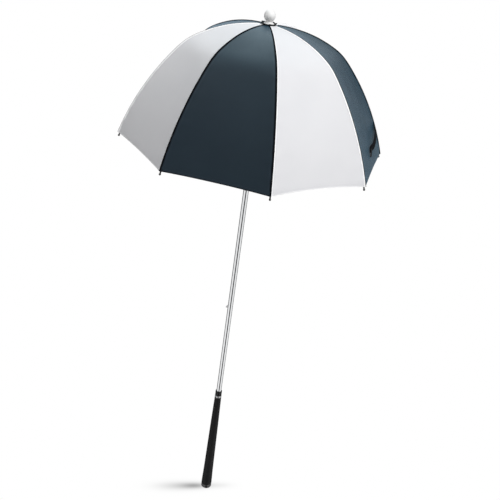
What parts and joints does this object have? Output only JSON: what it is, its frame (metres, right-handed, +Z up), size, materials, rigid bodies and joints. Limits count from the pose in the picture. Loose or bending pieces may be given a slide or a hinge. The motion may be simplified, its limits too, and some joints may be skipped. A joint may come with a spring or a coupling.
{
  "type": "golf umbrella",
  "caption": "Open stick umbrella with a deep dome canopy of alternating white and navy panels, slim chrome shaft, ball finial and a long tapered golf-style rubber grip.",
  "frame": {"origin": "bottom centre of the grip's end cap, on the shaft's axis", "axes": "+Z up the shaft towards the finial, +X over the rib beside the root of the closing strap, +Y a quarter turn further round"},
  "size_m": [0.5412, 0.5412, 1.1952],
  "materials": {
    "chrome_shaft": "bright chrome plate",
    "grip_rubber": "matt black moulded rubber",
    "gloss_black": "glossy black moulded plastic",
    "satin_ring": "satin aluminium",
    "black_nylon": "matt black nylon",
    "wire": "drawn steel wire",
    "finial_white": "glossy white plastic",
    "rosette": "soft black vinyl",
    "rib_black": "black painted steel",
    "rib_steel": "plated spring steel",
    "white_fabric": "plain woven white canopy fabric",
    "navy_fabric": "plain woven navy canopy fabric",
    "strap_fabric": "black woven tape"
  },
  "bodies": {
    "shaft": {"shaft_tube": "chrome_shaft", "grip_end_cap": "gloss_black", "grip": "grip_rubber", "grip_ring": "satin_ring", "grip_collar": "gloss_black", "top_notch": "black_nylon", "notch_wire": "wire", "notch_pin": "wire", "canopy_rosette": "rosette", "finial_base": "finial_white", "finial_ball": "finial_white"},
    "runner": {"runner": "black_nylon", "runner_wire": "wire"},
    "top_catch": {"top_catch": "rib_steel"},
    "bottom_catch": {"bottom_catch": "rib_steel"},
    "upper_rib_1": {"upper_rib_1": "rib_black"},
    "lower_rib_1": {"lower_rib_1": "rib_steel"},
    "stretcher_1": {"stretcher_1": "rib_black"},
    "upper_rib_2": {"upper_rib_2": "rib_black"},
    "lower_rib_2": {"lower_rib_2": "rib_steel"},
    "stretcher_2": {"stretcher_2": "rib_black"},
    "upper_rib_3": {"upper_rib_3": "rib_black"},
    "lower_rib_3": {"lower_rib_3": "rib_steel"},
    "stretcher_3": {"stretcher_3": "rib_black"},
    "upper_rib_4": {"upper_rib_4": "rib_black"},
    "lower_rib_4": {"lower_rib_4": "rib_steel"},
    "stretcher_4": {"stretcher_4": "rib_black"},
    "upper_rib_5": {"upper_rib_5": "rib_black"},
    "lower_rib_5": {"lower_rib_5": "rib_steel"},
    "stretcher_5": {"stretcher_5": "rib_black"},
    "upper_rib_6": {"upper_rib_6": "rib_black"},
    "lower_rib_6": {"lower_rib_6": "rib_steel"},
    "stretcher_6": {"stretcher_6": "rib_black"},
    "upper_rib_7": {"upper_rib_7": "rib_black"},
    "lower_rib_7": {"lower_rib_7": "rib_steel"},
    "stretcher_7": {"stretcher_7": "rib_black"},
    "upper_rib_8": {"upper_rib_8": "rib_black"},
    "lower_rib_8": {"lower_rib_8": "rib_steel"},
    "stretcher_8": {"stretcher_8": "rib_black"},
    "panel_upper_1": {"panel_upper_1": "white_fabric"},
    "panel_lower_1": {"panel_lower_1": "white_fabric"},
    "panel_upper_2": {"panel_upper_2": "navy_fabric"},
    "panel_lower_2": {"panel_lower_2": "navy_fabric"},
    "panel_upper_3": {"panel_upper_3": "white_fabric"},
    "panel_lower_3": {"panel_lower_3": "white_fabric"},
    "panel_upper_4": {"panel_upper_4": "navy_fabric"},
    "panel_lower_4": {"panel_lower_4": "navy_fabric"},
    "panel_upper_5": {"panel_upper_5": "white_fabric"},
    "panel_lower_5": {"panel_lower_5": "white_fabric"},
    "panel_upper_6": {"panel_upper_6": "navy_fabric"},
    "panel_lower_6": {"panel_lower_6": "navy_fabric"},
    "panel_upper_7": {"panel_upper_7": "white_fabric"},
    "panel_lower_7": {"panel_lower_7": "white_fabric"},
    "panel_upper_8": {"panel_upper_8": "navy_fabric"},
    "panel_lower_8": {"panel_lower_8": "navy_fabric", "closing_strap": "strap_fabric", "strap_patch": "strap_fabric"}
  },
  "joints": [
    {"name": "runner_slide", "type": "slide", "parent": "shaft", "child": "runner", "axis": [0, 0, 1], "range_m": [-0.29584, 0]},
    {"name": "top_catch_press", "type": "slide", "parent": "shaft", "child": "top_catch", "axis": [-0.9239, 0.3827, 0], "range_m": [-0.0038, 0], "stiffness_N_per_m": 500},
    {"name": "bottom_catch_press", "type": "slide", "parent": "shaft", "child": "bottom_catch", "axis": [-0.9239, 0.3827, 0], "range_m": [-0.0038, 0], "stiffness_N_per_m": 500},
    {"name": "upper_rib_1_fold", "type": "hinge", "parent": "shaft", "child": "upper_rib_1", "pos_m": [0.009, 0, 1.16], "axis": [0, 1, 0], "range_deg": [0, 74.48]},
    {"name": "lower_rib_1_fold", "type": "hinge", "parent": "upper_rib_1", "child": "lower_rib_1", "pos_m": [0.1506, 0, 1.1217], "axis": [0, 1, 0], "range_deg": [-48.61, 0]},
    {"name": "stretcher_1_fold", "type": "hinge", "parent": "runner", "child": "stretcher_1", "pos_m": [0.0125, 0, 0.955], "axis": [0, 1, 0], "range_deg": [-69.27, 0]},
    {"name": "upper_rib_2_fold", "type": "hinge", "parent": "shaft", "child": "upper_rib_2", "pos_m": [0.00636, 0.00636, 1.16], "axis": [-0.7071, 0.7071, 0], "range_deg": [0, 74.48]},
    {"name": "lower_rib_2_fold", "type": "hinge", "parent": "upper_rib_2", "child": "lower_rib_2", "pos_m": [0.10649, 0.10649, 1.1217], "axis": [-0.7071, 0.7071, 0], "range_deg": [-48.61, 0]},
    {"name": "stretcher_2_fold", "type": "hinge", "parent": "runner", "child": "stretcher_2", "pos_m": [0.00884, 0.00884, 0.955], "axis": [-0.7071, 0.7071, 0], "range_deg": [-69.27, 0]},
    {"name": "upper_rib_3_fold", "type": "hinge", "parent": "shaft", "child": "upper_rib_3", "pos_m": [0, 0.009, 1.16], "axis": [-1, 0, 0], "range_deg": [0, 74.48]},
    {"name": "lower_rib_3_fold", "type": "hinge", "parent": "upper_rib_3", "child": "lower_rib_3", "pos_m": [0, 0.1506, 1.1217], "axis": [-1, 0, 0], "range_deg": [-48.61, 0]},
    {"name": "stretcher_3_fold", "type": "hinge", "parent": "runner", "child": "stretcher_3", "pos_m": [0, 0.0125, 0.955], "axis": [-1, 0, 0], "range_deg": [-69.27, 0]},
    {"name": "upper_rib_4_fold", "type": "hinge", "parent": "shaft", "child": "upper_rib_4", "pos_m": [-0.00636, 0.00636, 1.16], "axis": [-0.7071, -0.7071, 0], "range_deg": [0, 74.48]},
    {"name": "lower_rib_4_fold", "type": "hinge", "parent": "upper_rib_4", "child": "lower_rib_4", "pos_m": [-0.10649, 0.10649, 1.1217], "axis": [-0.7071, -0.7071, 0], "range_deg": [-48.61, 0]},
    {"name": "stretcher_4_fold", "type": "hinge", "parent": "runner", "child": "stretcher_4", "pos_m": [-0.00884, 0.00884, 0.955], "axis": [-0.7071, -0.7071, 0], "range_deg": [-69.27, 0]},
    {"name": "upper_rib_5_fold", "type": "hinge", "parent": "shaft", "child": "upper_rib_5", "pos_m": [-0.009, 0, 1.16], "axis": [0, -1, 0], "range_deg": [0, 74.48]},
    {"name": "lower_rib_5_fold", "type": "hinge", "parent": "upper_rib_5", "child": "lower_rib_5", "pos_m": [-0.1506, 0, 1.1217], "axis": [0, -1, 0], "range_deg": [-48.61, 0]},
    {"name": "stretcher_5_fold", "type": "hinge", "parent": "runner", "child": "stretcher_5", "pos_m": [-0.0125, 0, 0.955], "axis": [0, -1, 0], "range_deg": [-69.27, 0]},
    {"name": "upper_rib_6_fold", "type": "hinge", "parent": "shaft", "child": "upper_rib_6", "pos_m": [-0.00636, -0.00636, 1.16], "axis": [0.7071, -0.7071, 0], "range_deg": [0, 74.48]},
    {"name": "lower_rib_6_fold", "type": "hinge", "parent": "upper_rib_6", "child": "lower_rib_6", "pos_m": [-0.10649, -0.10649, 1.1217], "axis": [0.7071, -0.7071, 0], "range_deg": [-48.61, 0]},
    {"name": "stretcher_6_fold", "type": "hinge", "parent": "runner", "child": "stretcher_6", "pos_m": [-0.00884, -0.00884, 0.955], "axis": [0.7071, -0.7071, 0], "range_deg": [-69.27, 0]},
    {"name": "upper_rib_7_fold", "type": "hinge", "parent": "shaft", "child": "upper_rib_7", "pos_m": [0, -0.009, 1.16], "axis": [1, 0, 0], "range_deg": [0, 74.48]},
    {"name": "lower_rib_7_fold", "type": "hinge", "parent": "upper_rib_7", "child": "lower_rib_7", "pos_m": [0, -0.1506, 1.1217], "axis": [1, 0, 0], "range_deg": [-48.61, 0]},
    {"name": "stretcher_7_fold", "type": "hinge", "parent": "runner", "child": "stretcher_7", "pos_m": [0, -0.0125, 0.955], "axis": [1, 0, 0], "range_deg": [-69.27, 0]},
    {"name": "upper_rib_8_fold", "type": "hinge", "parent": "shaft", "child": "upper_rib_8", "pos_m": [0.00636, -0.00636, 1.16], "axis": [0.7071, 0.7071, 0], "range_deg": [0, 74.48]},
    {"name": "lower_rib_8_fold", "type": "hinge", "parent": "upper_rib_8", "child": "lower_rib_8", "pos_m": [0.10649, -0.10649, 1.1217], "axis": [0.7071, 0.7071, 0], "range_deg": [-48.61, 0]},
    {"name": "stretcher_8_fold", "type": "hinge", "parent": "runner", "child": "stretcher_8", "pos_m": [0.00884, -0.00884, 0.955], "axis": [0.7071, 0.7071, 0], "range_deg": [-69.27, 0]},
    {"name": "panel_upper_1_fold", "type": "hinge", "parent": "shaft", "child": "panel_upper_1", "pos_m": [0.00768, 0.00318, 1.16], "axis": [-0.3827, 0.9239, 0], "range_deg": [0, 73.45], "deforming": ["panel_upper_1"]},
    {"name": "panel_lower_1_fold", "type": "hinge", "parent": "panel_upper_1", "child": "panel_lower_1", "pos_m": [0.13034, 0.05399, 1.1244], "axis": [-0.3827, 0.9239, 0], "range_deg": [-49.32, 0], "deforming": ["panel_lower_1"]},
    {"name": "panel_upper_2_fold", "type": "hinge", "parent": "shaft", "child": "panel_upper_2", "pos_m": [0.00318, 0.00768, 1.16], "axis": [-0.9239, 0.3827, 0], "range_deg": [0, 73.45], "deforming": ["panel_upper_2"]},
    {"name": "panel_lower_2_fold", "type": "hinge", "parent": "panel_upper_2", "child": "panel_lower_2", "pos_m": [0.05399, 0.13034, 1.1244], "axis": [-0.9239, 0.3827, 0], "range_deg": [-49.32, 0], "deforming": ["panel_lower_2"]},
    {"name": "panel_upper_3_fold", "type": "hinge", "parent": "shaft", "child": "panel_upper_3", "pos_m": [-0.00318, 0.00768, 1.16], "axis": [-0.9239, -0.3827, 0], "range_deg": [0, 73.45], "deforming": ["panel_upper_3"]},
    {"name": "panel_lower_3_fold", "type": "hinge", "parent": "panel_upper_3", "child": "panel_lower_3", "pos_m": [-0.05399, 0.13034, 1.1244], "axis": [-0.9239, -0.3827, 0], "range_deg": [-49.32, 0], "deforming": ["panel_lower_3"]},
    {"name": "panel_upper_4_fold", "type": "hinge", "parent": "shaft", "child": "panel_upper_4", "pos_m": [-0.00768, 0.00318, 1.16], "axis": [-0.3827, -0.9239, 0], "range_deg": [0, 73.45], "deforming": ["panel_upper_4"]},
    {"name": "panel_lower_4_fold", "type": "hinge", "parent": "panel_upper_4", "child": "panel_lower_4", "pos_m": [-0.13034, 0.05399, 1.1244], "axis": [-0.3827, -0.9239, 0], "range_deg": [-49.32, 0], "deforming": ["panel_lower_4"]},
    {"name": "panel_upper_5_fold", "type": "hinge", "parent": "shaft", "child": "panel_upper_5", "pos_m": [-0.00768, -0.00318, 1.16], "axis": [0.3827, -0.9239, 0], "range_deg": [0, 73.45], "deforming": ["panel_upper_5"]},
    {"name": "panel_lower_5_fold", "type": "hinge", "parent": "panel_upper_5", "child": "panel_lower_5", "pos_m": [-0.13034, -0.05399, 1.1244], "axis": [0.3827, -0.9239, 0], "range_deg": [-49.32, 0], "deforming": ["panel_lower_5"]},
    {"name": "panel_upper_6_fold", "type": "hinge", "parent": "shaft", "child": "panel_upper_6", "pos_m": [-0.00318, -0.00768, 1.16], "axis": [0.9239, -0.3827, 0], "range_deg": [0, 73.45], "deforming": ["panel_upper_6"]},
    {"name": "panel_lower_6_fold", "type": "hinge", "parent": "panel_upper_6", "child": "panel_lower_6", "pos_m": [-0.05399, -0.13034, 1.1244], "axis": [0.9239, -0.3827, 0], "range_deg": [-49.32, 0], "deforming": ["panel_lower_6"]},
    {"name": "panel_upper_7_fold", "type": "hinge", "parent": "shaft", "child": "panel_upper_7", "pos_m": [0.00318, -0.00768, 1.16], "axis": [0.9239, 0.3827, 0], "range_deg": [0, 73.45], "deforming": ["panel_upper_7"]},
    {"name": "panel_lower_7_fold", "type": "hinge", "parent": "panel_upper_7", "child": "panel_lower_7", "pos_m": [0.05399, -0.13034, 1.1244], "axis": [0.9239, 0.3827, 0], "range_deg": [-49.32, 0], "deforming": ["panel_lower_7"]},
    {"name": "panel_upper_8_fold", "type": "hinge", "parent": "shaft", "child": "panel_upper_8", "pos_m": [0.00768, -0.00318, 1.16], "axis": [0.3827, 0.9239, 0], "range_deg": [0, 73.45], "deforming": ["panel_upper_8"]},
    {"name": "panel_lower_8_fold", "type": "hinge", "parent": "panel_upper_8", "child": "panel_lower_8", "pos_m": [0.13034, -0.05399, 1.1244], "axis": [0.3827, 0.9239, 0], "range_deg": [-49.32, 0], "deforming": ["panel_lower_8", "closing_strap", "strap_patch"]}
  ],
  "couplings": [
    {"joint": "upper_rib_1_fold", "follows": "runner_slide", "rad_per_m": -4.3937},
    {"joint": "lower_rib_1_fold", "follows": "runner_slide", "rad_per_m": 2.8675},
    {"joint": "stretcher_1_fold", "follows": "runner_slide", "rad_per_m": 4.0864},
    {"joint": "upper_rib_2_fold", "follows": "runner_slide", "rad_per_m": -4.3937},
    {"joint": "lower_rib_2_fold", "follows": "runner_slide", "rad_per_m": 2.8675},
    {"joint": "stretcher_2_fold", "follows": "runner_slide", "rad_per_m": 4.0864},
    {"joint": "upper_rib_3_fold", "follows": "runner_slide", "rad_per_m": -4.3937},
    {"joint": "lower_rib_3_fold", "follows": "runner_slide", "rad_per_m": 2.8675},
    {"joint": "stretcher_3_fold", "follows": "runner_slide", "rad_per_m": 4.0864},
    {"joint": "upper_rib_4_fold", "follows": "runner_slide", "rad_per_m": -4.3937},
    {"joint": "lower_rib_4_fold", "follows": "runner_slide", "rad_per_m": 2.8675},
    {"joint": "stretcher_4_fold", "follows": "runner_slide", "rad_per_m": 4.0864},
    {"joint": "upper_rib_5_fold", "follows": "runner_slide", "rad_per_m": -4.3937},
    {"joint": "lower_rib_5_fold", "follows": "runner_slide", "rad_per_m": 2.8675},
    {"joint": "stretcher_5_fold", "follows": "runner_slide", "rad_per_m": 4.0864},
    {"joint": "upper_rib_6_fold", "follows": "runner_slide", "rad_per_m": -4.3937},
    {"joint": "lower_rib_6_fold", "follows": "runner_slide", "rad_per_m": 2.8675},
    {"joint": "stretcher_6_fold", "follows": "runner_slide", "rad_per_m": 4.0864},
    {"joint": "upper_rib_7_fold", "follows": "runner_slide", "rad_per_m": -4.3937},
    {"joint": "lower_rib_7_fold", "follows": "runner_slide", "rad_per_m": 2.8675},
    {"joint": "stretcher_7_fold", "follows": "runner_slide", "rad_per_m": 4.0864},
    {"joint": "upper_rib_8_fold", "follows": "runner_slide", "rad_per_m": -4.3937},
    {"joint": "lower_rib_8_fold", "follows": "runner_slide", "rad_per_m": 2.8675},
    {"joint": "stretcher_8_fold", "follows": "runner_slide", "rad_per_m": 4.0864},
    {"joint": "panel_upper_1_fold", "follows": "runner_slide", "rad_per_m": -4.3334},
    {"joint": "panel_lower_1_fold", "follows": "runner_slide", "rad_per_m": 2.9095},
    {"joint": "panel_upper_2_fold", "follows": "runner_slide", "rad_per_m": -4.3334},
    {"joint": "panel_lower_2_fold", "follows": "runner_slide", "rad_per_m": 2.9095},
    {"joint": "panel_upper_3_fold", "follows": "runner_slide", "rad_per_m": -4.3334},
    {"joint": "panel_lower_3_fold", "follows": "runner_slide", "rad_per_m": 2.9095},
    {"joint": "panel_upper_4_fold", "follows": "runner_slide", "rad_per_m": -4.3334},
    {"joint": "panel_lower_4_fold", "follows": "runner_slide", "rad_per_m": 2.9095},
    {"joint": "panel_upper_5_fold", "follows": "runner_slide", "rad_per_m": -4.3334},
    {"joint": "panel_lower_5_fold", "follows": "runner_slide", "rad_per_m": 2.9095},
    {"joint": "panel_upper_6_fold", "follows": "runner_slide", "rad_per_m": -4.3334},
    {"joint": "panel_lower_6_fold", "follows": "runner_slide", "rad_per_m": 2.9095},
    {"joint": "panel_upper_7_fold", "follows": "runner_slide", "rad_per_m": -4.3334},
    {"joint": "panel_lower_7_fold", "follows": "runner_slide", "rad_per_m": 2.9095},
    {"joint": "panel_upper_8_fold", "follows": "runner_slide", "rad_per_m": -4.3334},
    {"joint": "panel_lower_8_fold", "follows": "runner_slide", "rad_per_m": 2.9095}
  ]
}
